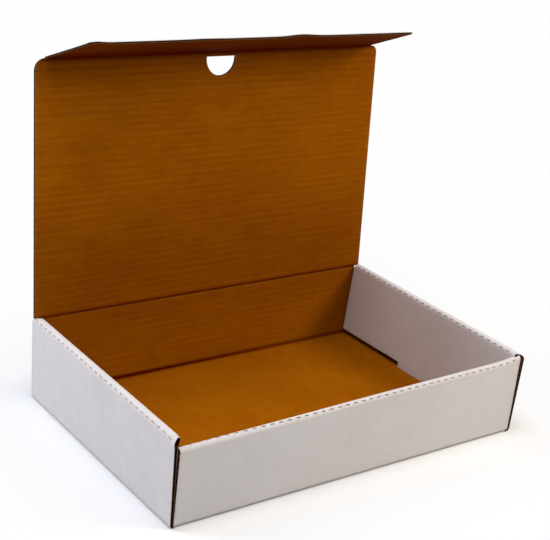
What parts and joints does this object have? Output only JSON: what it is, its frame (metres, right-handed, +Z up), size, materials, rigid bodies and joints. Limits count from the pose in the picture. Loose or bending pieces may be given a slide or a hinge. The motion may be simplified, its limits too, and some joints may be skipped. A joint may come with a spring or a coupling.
{
  "type": "archive box",
  "caption": "Low folded board tray with rolled double walls, a lid hinged on the back wall and a tuck flap with a thumb hole.",
  "frame": {"origin": "centre of the tray's underside, on the surface it stands on", "axes": "+Z up, front wall towards -Y, lid hinged at +Y, X along the long side"},
  "size_m": [0.352, 0.245, 0.3204],
  "materials": {
    "board": "brown kraft inside, white coated outside, matte"
  },
  "bodies": {
    "tray": {"tray": "board"},
    "lid": {"lid": "board"},
    "tuck_flap": {"tuck_flap": "board"}
  },
  "joints": [
    {"name": "lid_hinge", "type": "hinge", "parent": "tray", "child": "lid", "pos_m": [0, 0.1141, 0.0747], "axis": [1, 0, 0], "range_deg": [-105, 93.65]},
    {"name": "flap_fold", "type": "hinge", "parent": "lid", "child": "tuck_flap", "pos_m": [0, 0.12808, 0.29385], "axis": [1, 0, 0], "range_deg": [-38, 34]}
  ],
  "couplings": [
    {"joint": "flap_fold", "follows": "lid_hinge", "ratio": 0.36}
  ]
}
